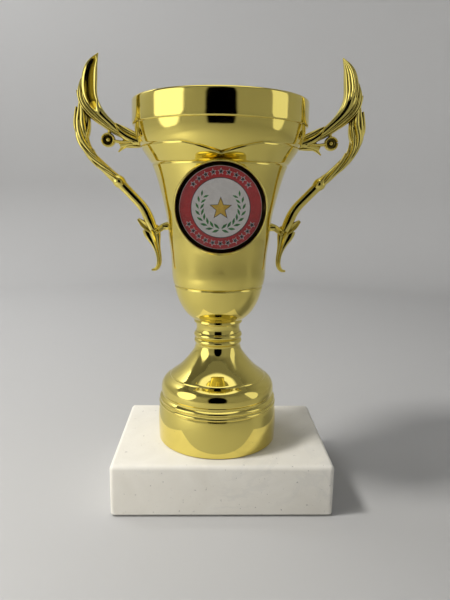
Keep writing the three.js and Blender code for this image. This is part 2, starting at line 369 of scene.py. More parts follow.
def marble_material():
    """Honed white marble: soft clouds, faint grey veins that wander, small dark specks."""
    material, shader, tree = new_material("white_marble")
    clouds = add_noise(tree, 38, 5, 0.6, 0.8)
    body = add_ramp(tree, clouds.outputs["Fac"], [(0.3, (0.79, 0.76, 0.685)), (0.62, (0.87, 0.845, 0.775))])
    slant = ((1.0, 0.55, 1.4), (0.5, 0.35, 0.75))
    wander = add_noise(tree, 26, 7, 0.62, 1.7, slant)
    vein = add_ramp(
        tree,
        wander.outputs["Fac"],
        [(0.47, grey(0.0)), (0.5, grey(1.0)), (0.515, grey(0.85)), (0.56, grey(0.0))],
    )
    patches = add_noise(tree, 30, 2)
    where = add_ramp(tree, patches.outputs["Fac"], [(0.5, grey(0.0)), (0.7, grey(0.2))])
    strength = mix_colours(tree, 1.0, vein, where, "MULTIPLY")
    veined = mix_colours(tree, strength, body, (0.47, 0.48, 0.49))
    grains = add_noise(tree, 900, 2, 0.5)
    speck = add_ramp(tree, grains.outputs["Fac"], [(0.71, grey(0.0)), (0.76, grey(0.6))])
    speckled = mix_colours(tree, speck, veined, (0.25, 0.24, 0.23))
    tree.links.new(speckled, shader.inputs["Base Color"])
    shader.inputs["Subsurface Weight"].default_value = 0.12
    shader.inputs["Subsurface Radius"].default_value = (0.004, 0.0038, 0.0035)
    gloss = add_ramp(tree, grains.outputs["Fac"], [(0.3, grey(0.42)), (0.7, grey(0.58))])
    tree.links.new(gloss, shader.inputs["Roughness"])
    add_bump(tree, shader, grains.outputs["Fac"], 0.12, 0.0003)
    return material


def felt_material():
    material, shader, tree = new_material("dark_felt")
    fibres = add_noise(tree, 2600, 6, 0.7)
    tone = add_ramp(tree, fibres.outputs["Fac"], [(0.3, (0.012, 0.02, 0.016)), (0.7, (0.05, 0.07, 0.06))])
    tree.links.new(tone, shader.inputs["Base Color"])
    shader.inputs["Roughness"].default_value = 0.95
    shader.inputs["Sheen Weight"].default_value = 0.5
    add_bump(tree, shader, fibres.outputs["Fac"], 0.8, 0.0004)
    return material


def steel_material():
    """Bright zinc plating with a faint blue-yellow cast and fine turning marks."""
    material, shader, tree = new_material("zinc_steel")
    shader.inputs["Metallic"].default_value = 1.0
    cast = add_noise(tree, 320, 3)
    tone = add_ramp(tree, cast.outputs["Fac"], [(0.35, (0.56, 0.57, 0.60)), (0.65, (0.66, 0.64, 0.58))])
    tree.links.new(tone, shader.inputs["Base Color"])
    marks = add_noise(tree, 1500, 4)
    gloss = add_ramp(tree, marks.outputs["Fac"], [(0.3, grey(0.22)), (0.7, grey(0.4))])
    tree.links.new(gloss, shader.inputs["Roughness"])
    add_bump(tree, shader, marks.outputs["Fac"], 0.15, 0.0001)
    return material


def ink_material(name, colour, dark):
    """Printed ink, a little uneven."""
    material, shader, tree = new_material(name)
    mottle = add_noise(tree, 700, 4)
    tone = add_ramp(tree, mottle.outputs["Fac"], [(0.3, dark), (0.6, colour)])
    tree.links.new(tone, shader.inputs["Base Color"])
    shader.inputs["Roughness"].default_value = 0.5
    return material


def resin_material():
    """Clear domed resin."""
    material, shader, tree = new_material("clear_resin")
    shader.inputs["Base Color"].default_value = (0.97, 0.975, 0.98, 1)
    shader.inputs["Transmission Weight"].default_value = 1.0
    shader.inputs["IOR"].default_value = 1.38
    smears = add_noise(tree, 400, 3)
    gloss = add_ramp(tree, smears.outputs["Fac"], [(0.4, grey(0.01)), (0.75, grey(0.05))])
    tree.links.new(gloss, shader.inputs["Roughness"])
    return material


# ---- Marble block and felt pads ----


def marble_block(material):
    ease = 1.6  # how far the edges are rounded
    foot_ease = 0.8
    bm = bmesh.new()
    middle = (BLOCK_LOW + BLOCK_HIGH) / 2
    extent = BLOCK_HIGH - BLOCK_LOW
    place = Matrix.Translation(middle) @ Matrix.Diagonal((*extent, 1))
    bmesh.ops.create_cube(bm, size=1, matrix=place)
    on_table = [e for e in bm.edges if all(v.co.z < middle.z for v in e.verts)]
    others = [e for e in bm.edges if e not in on_table]
    for edges, width in ((others, ease), (on_table, foot_ease)):
        kept = [e for e in edges if e.is_valid]
        bmesh.ops.bevel(
            bm, geom=kept, offset=width, affect="EDGES", segments=6, profile=0.5, material=-1,
            clamp_overlap=True,
        )
    block = new_object("marble_block", bm)
    cut(block, upright_bar(BORE, BLOCK_LOW.z - 5, BLOCK_HIGH.z + 5, 48))
    cut(block, upright_bar(12, BLOCK_LOW.z - 5, BLOCK_LOW.z + 8, 96))
    finish_piece(block, material, ["marble_base"])


def felt_pads(material):
    """Thin discs of felt with a soft, slightly ragged edge."""
    for node in sorted(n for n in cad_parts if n.startswith("felt_pad")):
        low, high = size_of(node)
        centre = (low + high) / 2
        radius = (high.x - low.x) / 2
        bm = upright_bar(radius, low.z, high.z, 72, centre.xy)
        rims = [e for e in bm.edges if abs(e.verts[0].co.z - e.verts[1].co.z) < 1e-6]
        bmesh.ops.bevel(bm, geom=rims, offset=0.2, affect="EDGES", segments=2, profile=0.5, material=-1)
        for vert in bm.verts:
            out = vert.co.xy - centre.xy
            if out.length > radius * 0.9:
                ragged = 1 - 0.02 * (1 + noise.noise(vert.co * 1.7))
                vert.co.xy = centre.xy + out * ragged
        finish_piece(new_object(node + "_felt", bm), material, [node])


# ---- Foot ----


def gilt_foot(material):
    """Drum, two fine beads, a roll, a bell and a ringed collar, hollow underneath, with a tube for the rod."""
    base = FOOT_LOW.z
    drum = even_curve([base + 0.3, 24.5, 28, 31.2], [21.45, 21.66, 21.62, 21.3])
    bell = even_curve([42.4, 44.6, 47.2, 49.4, 51.3, 53.6], [17.2, 14.3, 11.8, 10.0, 8.75, 8.1])
    outside = [(21.2, base)]
    outside += [(drum(z)[0], z) for z in np.linspace(base + 0.3, 31.3, 20)]
    outside += bow((21.0, 31.6), (21.0, 32.9), 0.42)
    outside += bow((20.75, 33.1), (20.6, 34.7), 0.5)
    outside += [(20.2, 35.0), (20.15, 35.7)]
    outside += bow((20.35, 35.9), (20.55, 36.9), 0.1, 4)
    outside += bow((20.55, 36.9), (17.6, 41.8), 0.95, 14)
    outside += [(17.35, 41.95), (17.3, 42.25)]
    outside += [(bell(z)[0], z) for z in np.linspace(42.4, 53.6, 26)]
    outside += bow((7.95, 53.9), (8.1, 55.9), 0.6)
    outside += bow((8.05, 56.1), (8.15, FOOT_HIGH.z - 0.15), 0.62)
    outside += [(8.05, FOOT_HIGH.z)]
    wall = 1.6
    tube = BORE + 2.2
    inside = [
        (BORE, FOOT_HIGH.z), (BORE, base), (tube, base), (tube, 48.5), (6.6, 49.5), (9.6, 46.2), (13.2, 42.4),
        (16.4, 40), (18.6, 37), (21.35 - wall, 31), (21.3 - wall, base),
    ]
    finish_piece(new_object("gilt_foot", turn(outside + inside)), material, ["foot"])


# ---- Cup ----


def cup_radius():
    """The smooth outside of the cup, without its lines, as a function of the height."""
    bulb = even_curve(*zip(*BULB))
    waist = even_curve(*zip(*WAIST))
    return lambda height: float((bulb if height < LOW_LINE else waist)(height)[0])


def line_depth(height):
    """How deep the three turned lines are at a height."""
    lines = (LOW_LINE, MIDDLE_LINE, POINTED_LINE)
    return sum(LINE_DEPTH * math.exp(-(((height - line) / LINE_WIDTH) ** 2)) for line in lines)


def dip_share(height):
    """The share of the point's drop that a height takes: all at the upper line, none at its neighbours."""
    hold = 1.0
    below = (height - MIDDLE_LINE - 0.9) / (POINTED_LINE - hold - MIDDLE_LINE - 0.9)
    above = (RIM_BOTTOM - 0.3 - height) / (RIM_BOTTOM - 0.3 - POINTED_LINE - hold)
    return min(1.0, max(0.0, min(below, above)))


def gilt_cup(material):
    outer = cup_radius()
    heights = rising(BULB[0][0], RIM_BOTTOM, (LOW_LINE, MIDDLE_LINE, POINTED_LINE))
    neck = [(8.05, CUP_LOW.z)]
    neck += bow((8.05, CUP_LOW.z), (8.2, 61.5), -0.3, 12)
    neck += bow((8.2, 61.5), (8.6, 62.5), 0.32, 6)
    neck += [(8.5, 62.7)]
    body = [(outer(z) - line_depth(z), z) for z in heights]
    corner = 0.9
    band = bow((RIM_RADIUS - 0.35, RIM_BOTTOM), (RIM_RADIUS, RIM_BOTTOM + 0.5), 0.08, 4)
    band += bow((RIM_RADIUS, RIM_BOTTOM + 0.5), (RIM_RADIUS, CUP_TOP - corner), 0.0, 6)
    band += bow((RIM_RADIUS, CUP_TOP - corner), (RIM_RADIUS - corner, CUP_TOP), 0.26, 8)
    inner_rim = RIM_RADIUS - CUP_WALL
    band += bow((RIM_RADIUS - corner, CUP_TOP), (inner_rim, CUP_TOP - 0.6), 0.12, 5)
    inside = even_curve(
        [CUP_FLOOR + 0.3, 71.5, 76, 86, 102.6, 110.6, 118.6, 127, 133],
        [7.5, 12.0, 14.2, 15.2, 17.3, 19.2, 22.6, 26.9, inner_rim],
    )
    hollow = [(inside(z)[0], z) for z in np.linspace(133, CUP_FLOOR + 0.3, 60)]
    floor = [(6.4, CUP_FLOOR), (BORE, CUP_FLOOR), (BORE, CUP_LOW.z)]
    bm = turn(neck + body + band + hollow + floor)
    for vert in bm.verts:
        height = vert.co.z
        reach = vert.co.xy.length
        share = dip_share(height)
        if share <= 0 or reach < outer(height) - 1.0:
            continue
        turned = (math.atan2(vert.co.y, vert.co.x) - FRONT + math.pi) % FULL_TURN - math.pi
        side = max(0.0, 1 - abs(turned) / POINT_HALF_ANGLE)
        lowered = height - POINT_DROP * side**1.25 * share
        vert.co.xy *= (reach - outer(height) + outer(lowered)) / reach
        vert.co.z = lowered
    bmesh.ops.recalc_face_normals(bm, faces=bm.faces)
    finish_piece(new_object("gilt_cup", bm), material, ["cup"])


def cup_solid():
    """The cup's outside as a solid, for fitting what stands on it."""
    outer = cup_radius()
    heights = np.linspace(LOW_LINE, RIM_BOTTOM, 50)
    return turn([(0, LOW_LINE), *((outer(z) - 0.05, z) for z in heights), (0, RIM_BOTTOM)], 96)


# ---- Handles: one moulding, drawn as the right-hand one ----


def eased(value, low, high):
    """0 below low, 1 above high, and a soft rise between."""
    share = min(1.0, max(0.0, (value - low) / (high - low)))
    return share * share * (3 - 2 * share)


def round_section(angle, share):
    return math.cos(angle), math.sin(angle)


def ridged_section(ridges, depth, twist=0.0, twist_from=0.0):
    """A round section with ridges along the bar, which turn round it by twist turns after twist_from."""

    def section(angle, share):
        turned = twist * FULL_TURN * max(0.0, share - twist_from)
        wave = abs(math.cos(ridges / 2 * (angle + turned)))
        swell = 1 - depth + 2 * depth * wave**0.8
        return swell * math.cos(angle), swell * math.sin(angle)

    return section


def flat_section(angle, share):
    """Round sides and a flattened front and back."""
    across, out = math.cos(angle), math.sin(angle)
    return across, math.copysign(abs(out) ** 0.55, out)


def leaf_section(angle, share):
    """The big leaf: dished on its +Y face with a thick outer rim, and ribbed on its -Y face."""
    across, out = flat_section(angle, share)
    open_leaf = eased(share, 0.44, 0.6) * (1 - eased(share, 0.93, 0.99))
    if out > 0:
        dish = eased(0.5 - across, 0.0, 0.25)
        return across, out * (1 - (1.2 + 0.45 * across) * open_leaf * dish)
    ribs = abs(math.cos(across * 2.6 * math.pi)) - 0.5
    return across, out * (1 + 0.22 * eased(share, 0.55, 0.75) * ribs)


def channel_section(angle, share):
    """Hollowed along both faces, with a raised edge on each side."""
    across, out = math.cos(angle), math.sin(angle)
    return across, out * (0.35 + 0.95 * abs(across) ** 1.6)


def veined_section(angle, share):
    """A leaf with raised edges and a raised rib along its middle."""
    across, out = math.cos(angle), math.sin(angle)
    rib = math.exp(-((across / 0.16) ** 2))
    return across, out * (0.45 + 0.75 * abs(across) ** 1.6 + 0.5 * rib)


def bent_bar(line, widths, depths, section=round_section, around=40, step=0.35, shift=0.0):
    """A bar along a smooth line in the XZ plane. Widths and depths are half sizes in and across that plane."""
    path, length = line_through(line)
    steps = max(6, round(length / step))
    places = np.linspace(0, 1, len(widths))
    wide = even_curve(places, widths) if len(widths) > 2 else even_curve([0, 1], [widths[0], widths[-1]])
    deep = even_curve(np.linspace(0, 1, len(depths)), depths)
    bm = bmesh.new()
    bmesh.ops.create_cone(bm, cap_ends=True, segments=around, radius1=1, radius2=1, depth=1)
    long_edges = [e for e in bm.edges if abs(e.verts[0].co.z - e.verts[1].co.z) > 0.5]
    bmesh.ops.subdivide_edges(bm, edges=long_edges, cuts=steps - 1)
    for vert in bm.verts:
        share = vert.co.z + 0.5
        across, out = section(math.atan2(vert.co.y, vert.co.x), share)
        here = path(share)
        ahead = path(min(share + 0.01, 1.0)) - path(max(share - 0.01, 0.0))
        side = Vector((ahead[1], 0, -ahead[0])).normalized()
        spot = Vector((here[0], shift, here[1]))
        spot += side * across * max(0.05, float(wide(share)[0]))
        spot.y += out * max(0.05, float(deep(share)[0]))
        vert.co = spot
    bmesh.ops.recalc_face_normals(bm, faces=bm.faces)
    return bm


def ball(centre, radius, flat=1.0):
    bm = bmesh.new()
    place = Matrix.Translation((centre[0], 0, centre[1])) @ Matrix.Diagonal((1, flat, 1, 1))
    bmesh.ops.create_uvsphere(bm, u_segments=32, v_segments=20, radius=radius, matrix=place)
    return bm


def rosette(centre):
    """The curl's end: a ring, a sunk web and a bead in the middle."""
    ring_radius = 2.0
    loop = [
        (centre[0] + ring_radius * math.cos(a), centre[1] + ring_radius * math.sin(a))
        for a in np.linspace(0.2, FULL_TURN + 0.1, 18)
    ]
    ring = bent_bar(loop, [0.46] * 3, [1.7, 1.6, 1.6], around=24)
    web = bmesh.new()
    place = Matrix.Translation((centre[0], 0, centre[1])) @ Matrix.Rotation(math.pi / 2, 4, "X")
    bmesh.ops.create_cone(
        web, cap_ends=True, segments=48, radius1=ring_radius, radius2=ring_radius, depth=0.5, matrix=place
    )
    return [ring, web, ball(centre, 0.95, 1.2)]


def arm_parts():
    """The horn-like big leaf, the second leaf over it, and the small leaves where the arm meets the cup."""
    leaf = bent_bar(
        [
            (26.6, 123.6), (29.5, 124.3), (32.8, 126.0), (36.6, 129.2), (39.4, 131.8), (41.8, 134.6),
            (43.3, 137.4), (43.8, 140.4), (43.6, 143.8), (42.8, 147.6), (40.5, 151.8),
        ],
        [1.5, 1.35, 1.25, 1.25, 1.4, 1.85, 2.3, 2.5, 2.4, 1.65, 0.12],
        [1.7, 1.6, 1.6, 1.7, 1.9, 2.3, 2.6, 2.6, 2.2, 1.4, 0.15],
        leaf_section, 72, 0.3,
    )
    second_leaf = bent_bar(
        [
            (31.6, 125.0), (36.6, 127.6), (40.8, 130.7), (44.2, 134.0), (45.9, 137.2), (46.2, 140.4),
            (46.0, 143.8),
        ],
        [0.7, 0.85, 1.0, 1.35, 1.6, 1.5, 0.5],
        [1.4, 1.7, 2.0, 2.4, 2.5, 1.9, 0.2],
        ridged_section(9, 0.1), 72, 0.3,
    )
    under_edge = bent_bar(
        [(30.8, 124.3), (36.2, 126.8), (40.6, 129.8), (44.4, 133.4), (47.0, 136.6), (48.0, 140.0)],
        [0.5, 0.5, 0.5, 0.55, 0.5, 0.15],
        [1.0, 1.2, 1.4, 1.6, 1.5, 0.3],
    )
    top_leaf = bent_bar(
        [(27.6, 125.2), (31.4, 127.0), (35.4, 129.5)], [1.15, 1.2, 0.45], [2.0, 1.9, 1.2], channel_section, 56
    )
    leaf_end = bent_bar([(35.3, 129.6), (34.6, 127.6), (33.2, 125.4)], [0.4, 0.45, 0.4], [1.5, 1.75, 1.6])
    under_leaf = bent_bar(
        [(27.0, 122.6), (31.6, 122.7), (34.6, 120.3)], [0.8, 0.95, 0.2], [1.8, 1.6, 0.4], channel_section, 56
    )
    root = bent_bar([(27.0, 123.7), (30.5, 123.6), (34.0, 122.4)], [1.9, 1.9, 0.9], [1.1, 1.1, 0.7])
    strand = bent_bar([(29.0, 124.0), (33.4, 123.6), (36.2, 124.0)], [0.75, 0.6, 0.6], [1.6, 1.5, 1.4])
    hanger = bent_bar([(36.9, 128.2), (37.3, 127.2), (37.6, 126.2)], [0.9, 0.7, 0.6], [1.5, 1.3, 1.2])
    curl = rosette((37.9, 124.2))
    return [leaf, second_leaf, under_edge, top_leaf, leaf_end, under_leaf, root, strand, hanger, *curl]


def stem_parts():
    """The knotty upper stem, its collar and the smooth lower stem."""
    upper_stem = bent_bar(
        [
            (46.9, 136.6), (46.4, 133.4), (46.5, 129.6), (46.6, 126.0), (45.6, 122.2),
            (43.2, 118.6), (40.0, 115.4), (37.0, 112.8), (34.2, 110.2),
        ],
        [0.5, 1.65, 2.0, 1.95, 1.5, 1.45, 1.35, 1.45, 1.6],
        [0.9, 1.9, 2.2, 2.2, 1.9, 1.8, 1.7, 1.8, 1.8],
        ridged_section(5, 0.17, 0.75, 0.2), 88, 0.25,
    )
    bark = [
        bent_bar(
            [(48.3, 134.8), (48.7, 131.4), (48.6, 127.9), (47.6, 124.6)],
            [0.35, 0.6, 0.75, 0.2], [0.7, 1.1, 1.2, 0.3]
        ),
        bent_bar(
            [(44.0, 131.6), (44.2, 128.0), (45.2, 124.4), (46.6, 121.4)],
            [0.3, 0.6, 0.6, 0.2], [0.8, 1.7, 1.8, 0.4]
        ),
        bent_bar([(43.0, 121.2), (41.6, 117.9), (38.8, 114.8)], [0.2, 0.6, 0.2], [0.8, 1.7, 0.6]),
        bent_bar([(45.2, 119.8), (42.6, 116.4), (39.4, 113.6)], [0.2, 0.6, 0.2], [0.8, 1.6, 0.6]),
    ]
    collar = bent_bar([(36.0, 111.9), (34.6, 110.6), (33.2, 109.2)], [1.5, 2.15, 1.6], [1.6, 2.2, 1.7])
    lower_stem = bent_bar(
        [(35.0, 110.9), (32.5, 108.4), (29.2, 105.0), (26.4, 101.8), (24.7, 98.6), (23.0, 94.4)],
        [1.7, 1.6, 1.6, 1.65, 1.75, 1.5],
        [1.7, 1.7, 1.7, 1.8, 1.9, 1.6],
        flat_section, 56,
    )
    return [upper_stem, *bark, collar, lower_stem]


def bracket_parts():
    """Where the stem meets the cup: a bracket, a two-edged wing and a hooked tail, and the two pegs."""
    bracket = bent_bar(
        [(16.8, 96.2), (19.4, 95.4), (22.4, 93.2)], [1.2, 1.15, 1.1], [1.6, 1.7, 1.9], channel_section, 56
    )
    wing = bent_bar(
        [(21.8, 92.9), (23.6, 94.0), (26.0, 95.8), (28.3, 97.9)],
        [1.0, 1.25, 1.3, 0.5],
        [1.9, 2.0, 1.8, 0.8],
        channel_section, 56,
    )
    tail = bent_bar(
        [
            (24.2, 95.0), (23.1, 92.2), (22.3, 89.6), (21.5, 86.6), (21.1, 84.0), (21.3, 81.9), (22.3, 80.4),
            (23.8, 80.1),
        ],
        [2.9, 2.9, 2.1, 1.35, 1.0, 0.9, 0.75, 0.35],
        [1.3, 1.5, 1.5, 1.3, 1.1, 0.95, 0.8, 0.4],
        veined_section, 64, 0.25,
    )
    upper_peg = bent_bar([(24.6, 123.8), (27.0, 123.8), (29.5, 123.8)], [1.6] * 3, [1.6] * 3)
    lower_peg = bent_bar([(15.2, 95.4), (17.0, 95.4), (19.5, 95.4)], [1.2] * 3, [1.2] * 3)
    return [bracket, wing, tail, upper_peg, lower_peg]


def gilt_handles(material):
    """One moulding, used on both sides, turned half round."""
    moulding = new_object("gilt_handle_right", gather([*arm_parts(), *stem_parts(), *bracket_parts()]))
    other = bpy.data.objects.new("gilt_handle_left", moulding.data.copy())
    bpy.context.scene.collection.objects.link(other)
    other.data.transform(Matrix.Rotation(math.pi, 4, "Z"))
    finish_piece(moulding, material, ["handle_right"], 55)
    finish_piece(other, material, ["handle_left"], 55)


# ---- Medal ----


def medal_holder(material, dark):
    """A round box with a bright raised lip and a sloping seat, fitted to the cup's round side; a thin dark
    shell over the seat is painted shade.
    """
    seat = MEDAL_RADIUS + 0.3
    back = 22.6
    neck = HOLDER_RADIUS - 1.2
    outline = [(0, back), (seat, back), (seat, 12), (neck, 12), (neck, HOLDER_LIP - 1.9)]
    outline += bow((neck, HOLDER_LIP - 1.8), (HOLDER_RADIUS - 0.05, HOLDER_LIP - 0.9), 0.3, 8)
    outline += bow((HOLDER_RADIUS - 0.05, HOLDER_LIP - 0.85), (HOLDER_RADIUS - 0.3, HOLDER_LIP - 0.2), 0.1, 6)
    outline += bow((HOLDER_RADIUS - 0.3, HOLDER_LIP - 0.2), (HOLDER_RADIUS - 0.65, HOLDER_LIP - 0.2), 0.16, 6)
    outline += bow((HOLDER_RADIUS - 0.7, HOLDER_LIP - 0.35), (seat + 0.1, PRINT_FACE - 0.1), -0.1, 8)
    outline += [(seat, PRINT_FACE - 0.5), (0, PRINT_FACE - 0.5)]
    holder = new_object("medal_holder_ring", facing_front(turn(outline, 128)))
    cut(holder, cup_solid())
    peg = new_object("holder_peg", facing_front(upright_bar(2, 16, back + 0.3, 32)))
    for piece, stands_for in ((holder, ["medal_holder"]), (peg, None)):
        finish_piece(piece, material, stands_for)
    # Painted shade: a thin shell of dark brown gilt laid over the sloping seat darkens the ring round the
    # print.
    slope = bow((HOLDER_RADIUS - 0.74, HOLDER_LIP - 0.36), (seat + 0.02, PRINT_FACE - 0.02), -0.1, 8)
    edge = HOLDER_RADIUS - 0.6
    slope += [(seat - 0.02, PRINT_FACE - 0.3), (edge, PRINT_FACE - 0.3), (edge, HOLDER_LIP - 0.5)]
    shaded = new_object("holder_seat_painted_shade", facing_front(turn(slope, 128)))
    finish_piece(shaded, dark)


def star(centre, radius, points=5, waist=0.42, turned=0.0):
    """A flat star in the plane of the medal."""
    bm = bmesh.new()
    bmesh.ops.create_circle(bm, cap_ends=True, segments=2 * points, radius=radius)
    bm.verts.ensure_lookup_table()
    for vert in bm.verts:
        number = round((math.atan2(vert.co.y, vert.co.x) - math.pi / 2) / (math.pi / points))
        vert.co *= 1 if number % 2 == 0 else waist
    place = Matrix.Translation((*centre, 0)) @ Matrix.Rotation(turned, 4, "Z")
    bmesh.ops.transform(bm, matrix=place, verts=bm.verts)
    return bm


def wreath_leaf(centre, heading, length):
    """A flat pointed leaf."""
    bm = bmesh.new()
    bmesh.ops.create_circle(bm, cap_ends=True, segments=16, radius=1)
    for vert in bm.verts:
        vert.co.y *= 0.36 * (1 - 0.55 * abs(vert.co.x))
    place = Matrix.Translation((*centre, 0)) @ Matrix.Rotation(heading, 4, "Z") @ Matrix.Scale(length / 2, 4)
    bmesh.ops.transform(bm, matrix=place, verts=bm.verts)
    return bm


def wreath():
    """Two branches of leaves that rise from the bottom and leave the top open."""
    parts = []
    radius = 6.3
    for side in (-1, 1):
        for i in range(8):
            bend = math.radians(-90 + side * (12 + 16.5 * i))
            for out in (-1, 1):
                spot = Vector((math.cos(bend), math.sin(bend))) * (radius + out * 0.75)
                heading = bend + side * (math.pi / 2 - out * 0.55)
                parts.append(wreath_leaf(spot, heading, 2.3 - 0.07 * i))
    return gather(parts)


def stars_round(radius, size):
    """Small stars along the upper and the lower arc of the border."""
    parts = []
    for middle, count in ((90, 9), (-90, 11)):
        for i in range(count):
            bend = math.radians(middle + (i - (count - 1) / 2) * 12.5)
            spot = Vector((math.cos(bend), math.sin(bend))) * radius
            parts.append(star(spot, size, turned=bend - math.pi / 2))
    return gather(parts)


def flat_ring(inner, outer):
    bm = bmesh.new()
    bmesh.ops.create_circle(bm, cap_ends=False, segments=128, radius=inner)
    bmesh.ops.create_circle(bm, cap_ends=False, segments=128, radius=outer)
    bmesh.ops.bridge_loops(bm, edges=bm.edges)
    return bm


def print_layer(name, bm, material, low, thickness, stands_for=None):
    """Gives a flat drawing its thickness and its place in the medal."""
    bmesh.ops.recalc_face_normals(bm, faces=bm.faces)
    for face in bm.faces:
        if face.normal.z < 0:
            face.normal_flip()
    sides = bmesh.ops.extrude_face_region(bm, geom=bm.faces[:])
    raised = [v for v in sides["geom"] if isinstance(v, bmesh.types.BMVert)]
    bmesh.ops.translate(bm, vec=(0, 0, thickness), verts=raised)
    bmesh.ops.translate(bm, vec=(0, 0, low), verts=bm.verts)
    bmesh.ops.recalc_face_normals(bm, faces=bm.faces)
    finish_piece(new_object(name, facing_front(bm)), material, stands_for)


def medal_print():
    """The printed disc: white middle, red border with small stars, a green wreath and a gold star."""
    white = ink_material("print_white", (0.80, 0.77, 0.74), (0.72, 0.69, 0.66))
    red = ink_material("print_red", (0.52, 0.016, 0.018), (0.40, 0.010, 0.012))
    green = ink_material("print_green", (0.045, 0.24, 0.05), (0.02, 0.12, 0.03))
    yellow = ink_material("print_yellow", (0.78, 0.52, 0.07), (0.62, 0.38, 0.04))
    black = ink_material("print_black", (0.02, 0.016, 0.018), (0.01, 0.008, 0.01))
    ground = bmesh.new()
    bmesh.ops.create_circle(ground, cap_ends=True, segments=128, radius=MEDAL_RADIUS)
    film = 0.02
    thick = -DISC_LOW.y + DISC_HIGH.y
    print_layer("print_ground", ground, white, PRINT_FACE - thick, thick, ["medal_disc"])
    print_layer("print_border", flat_ring(9.0, MEDAL_RADIUS - 0.1), red, PRINT_FACE, film)
    print_layer("print_border_edge", flat_ring(8.75, 9.0), black, PRINT_FACE, film)
    print_layer("print_star_edges", stars_round(10.7, 1.12), white, PRINT_FACE + film, film)
    print_layer("print_stars", stars_round(10.7, 0.86), black, PRINT_FACE + 2 * film, film)
    print_layer("print_wreath", wreath(), green, PRINT_FACE, film)
    print_layer("print_middle_star_edge", star((0, -0.2), 3.6), black, PRINT_FACE, film)
    print_layer("print_middle_star", star((0, -0.2), 3.1), yellow, PRINT_FACE + film, film)


def medal_dome(material):
    """A low clear dome with a rounded foot."""
    back, front = -DOME_HIGH.y, -DOME_LOW.y
    crown = [(0, back), (MEDAL_RADIUS - 0.1, back)]
    crown += bow((MEDAL_RADIUS - 0.1, back), (MEDAL_RADIUS - 0.35, back + 0.55), 0.1, 5)
    for i in range(1, 25):
        share = 1 - i / 24
        crown.append(((MEDAL_RADIUS - 0.35) * share, back + 0.55 + (front - back - 0.55) * (1 - share**2.4)))
    finish_piece(
        new_object("medal_dome_resin", facing_front(turn(crown, 128))), material, ["medal_dome"]
    )


# ---- Fastening ----


def threaded_rod(material):
    """A steel rod with a fine thread and a small chamfer at each end."""
    pitch = 0.8
    depth = 0.28
    length = ROD_HIGH.z - ROD_LOW.z
    bm = upright_bar(ROD_RADIUS, ROD_LOW.z, ROD_HIGH.z, 32)
    long_edges = [e for e in bm.edges if abs(e.verts[0].co.z - e.verts[1].co.z) > 1]
    bmesh.ops.subdivide_edges(bm, edges=long_edges, cuts=round(length / pitch * 6))
    for vert in bm.verts:
        turned = math.atan2(vert.co.y, vert.co.x) / FULL_TURN
        share = (vert.co.z / pitch - turned) % 1
        end = min(vert.co.z - ROD_LOW.z, ROD_HIGH.z - vert.co.z)
        groove = depth * abs(2 * share - 1)
        taper = max(0.0, 0.5 - end)
        vert.co.xy *= (ROD_RADIUS - max(groove, taper)) / ROD_RADIUS
    finish_piece(new_object("threaded_rod", bm), material, ["tie_rod"], 60)


def washers_and_nuts(material):
    for node in ("base_washer", "cup_washer"):
        low, high = size_of(node)
        soft = 0.15
        outline = [(BORE, low.z + soft), (BORE + soft, low.z), (high.x - soft, low.z), (high.x, low.z + soft)]
        outline += [(high.x, high.z - soft), (high.x - soft, high.z)]
        outline += [(BORE + soft, high.z), (BORE, high.z - soft)]
        finish_piece(new_object(node + "_steel", turn(outline, 64)), material, [node])
    for node in ("base_nut", "cup_nut"):
        low, high = size_of(node)
        corner = high.y
        hexagon = upright_bar(corner, low.z, high.z, 6)
        bmesh.ops.rotate(hexagon, cent=(0, 0, 0), matrix=Matrix.Rotation(0, 3, "Z"), verts=hexagon.verts)
        nut = new_object(node + "_steel", hexagon)
        slope = 0.5
        rounder = turn(
            [
                (BORE, low.z - 1), (high.x - 0.1, low.z - 0.001), (corner, low.z + slope),
                (corner, high.z - slope), (high.x - 0.1, high.z + 0.001), (BORE, high.z + 1),
            ],
            96,
        )
        cut(nut, rounder, "INTERSECT")
        finish_piece(nut, material, [node])


# ---- Studio ----


def stage_surface(name, bm, material):
    """A piece of the studio."""
    mesh = bpy.data.meshes.new(name)
    bm.to_mesh(mesh)
    bm.free()
    surface = bpy.data.objects.new(name, mesh)
    bpy.context.scene.collection.objects.link(surface)
    mesh.materials.append(material)
    mesh.shade_smooth()
    return surface


def open_turn(outline, steps=128):
    """An open outline of (radius, height), in metres, turned round the Z axis."""
    bm = bmesh.new()
    corners = [bm.verts.new((radius, 0, height)) for radius, height in outline]
    sides = [bm.edges.new(pair) for pair in zip(corners, corners[1:])]
    bmesh.ops.spin(
        bm, geom=corners + sides, axis=(0, 0, 1), cent=(0, 0, 0), angle=FULL_TURN, steps=steps, use_merge=True
    )
    bmesh.ops.remove_doubles(bm, verts=bm.verts, dist=1e-6)
    return bm


def studio_floor():
    """A plain pale round floor that sweeps up into a low wall."""
    material, shader, _ = new_material("studio_grey")
    shader.inputs["Base Color"].default_value = (*STUDIO_GREY, 1)
    shader.inputs["Roughness"].default_value = 0.6
    floor_radius, sweep, wall_top = 0.46, 0.12, 0.9
    outline = [(0, 0), (0.1, 0), (0.2, 0), (0.3, 0)]
    for i in range(13):
        bend = i / 12 * math.pi / 2
        outline.append((floor_radius + sweep * math.sin(bend), sweep * (1 - math.cos(bend))))
    outline.append((floor_radius + sweep, wall_top))
    stage_surface("studio_floor", open_turn(outline), material)


def add_range(tree, value, low, high):
    """0 at low and 1 at high."""
    spread = tree.nodes.new("ShaderNodeMapRange")
    spread.inputs["From Min"].default_value = low
    spread.inputs["From Max"].default_value = high
    spread.interpolation_type = "SMOOTHSTEP"
    tree.links.new(value, spread.inputs["Value"])
    return spread.outputs["Result"]


def only_mirrored(name, bm, material):
    """A piece of the studio that shows only in reflections."""
    surface = stage_surface(name, bm, material)
    surface.visible_camera = False
    surface.visible_diffuse = False
    surface.visible_transmission = False
    surface.visible_volume_scatter = False
    surface.visible_shadow = False


